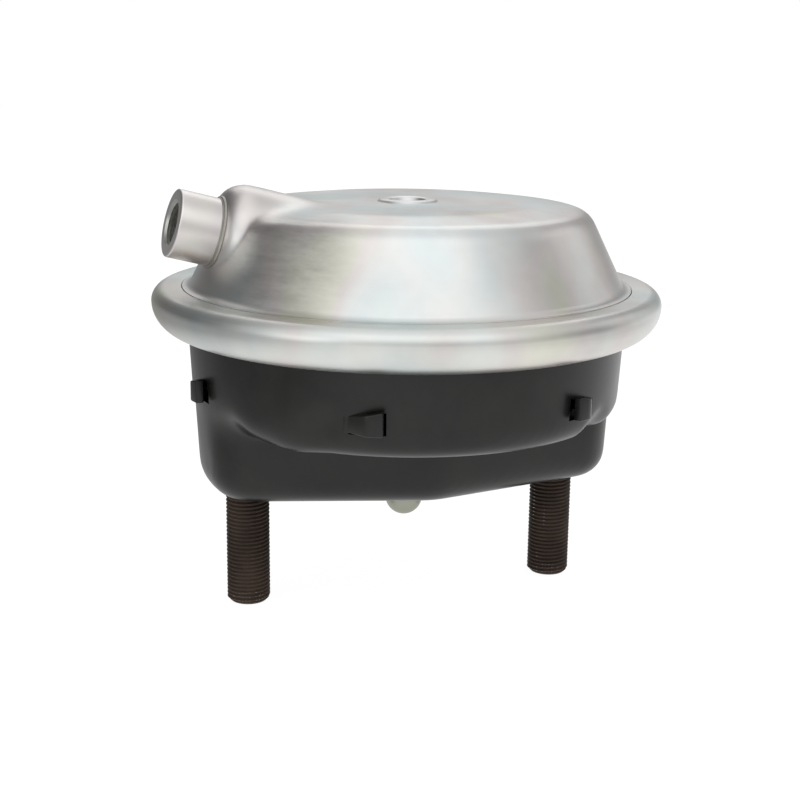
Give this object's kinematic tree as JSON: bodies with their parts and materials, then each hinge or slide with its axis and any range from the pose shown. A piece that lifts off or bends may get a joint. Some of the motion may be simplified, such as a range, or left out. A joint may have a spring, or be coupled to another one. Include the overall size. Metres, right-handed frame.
{
  "type": "air brake chamber",
  "caption": "Diaphragm air brake chamber: zinc-plated domed cover with side air port, rolled clamp ring, black pressed housing with mounting studs and a spring-returned pushrod.",
  "frame": {"origin": "centre of the mounting face, half way between the two studs, on the pushrod axis", "axes": "+Z from the mounting face up through the cover; the studs lie along X with the air port near -X; -Z is the way the pushrod comes out"},
  "size_m": [0.186, 0.186, 0.1553],
  "materials": {
    "black_paint": "semi-gloss black paint on pressed steel",
    "zinc_cover": "bright zinc plate with a faint iridescent passivation, drawn steel",
    "zinc_ring": "bright zinc plate with a faint iridescent passivation, rolled steel",
    "zinc_turned": "bright zinc plate on turned steel",
    "zinc_rod": "dull greenish zinc plate",
    "weld": "zinc plated weld bead",
    "phosphate": "dark brown-black phosphated steel, lightly oiled",
    "plain_steel": "plain rolled steel",
    "spring_steel": "dark phosphated spring steel",
    "rubber": "matt black rubber",
    "diaphragm_rubber": "matt black fabric-reinforced rubber"
  },
  "bodies": {
    "chamber": {"housing": "black_paint", "stud_plate": "plain_steel", "stud_left": "phosphate", "stud_right": "phosphate", "clamp_ring": "zinc_ring", "diaphragm": "diaphragm_rubber", "pressure_cover": "zinc_cover", "cover_plug": "zinc_turned", "port_boss": "zinc_turned", "port_weld": "weld", "boot": "rubber", "boot_ring": "plain_steel", "mounting_seal": "rubber", "spring_seat": "plain_steel", "return_spring": "spring_steel"},
    "pushrod_group": {"push_plate": "zinc_rod", "pushrod": "zinc_rod", "rod_weld": "weld", "rod_collar": "plain_steel", "boot_clip": "plain_steel"}
  },
  "joints": [
    {"name": "pushrod_slide", "type": "slide", "parent": "chamber", "child": "pushrod_group", "axis": [0, 0, -1], "range_m": [0, 0.057], "stiffness_N_per_m": 1800, "springref_m": -0.06, "deforming": ["return_spring", "boot", "diaphragm"]}
  ]
}
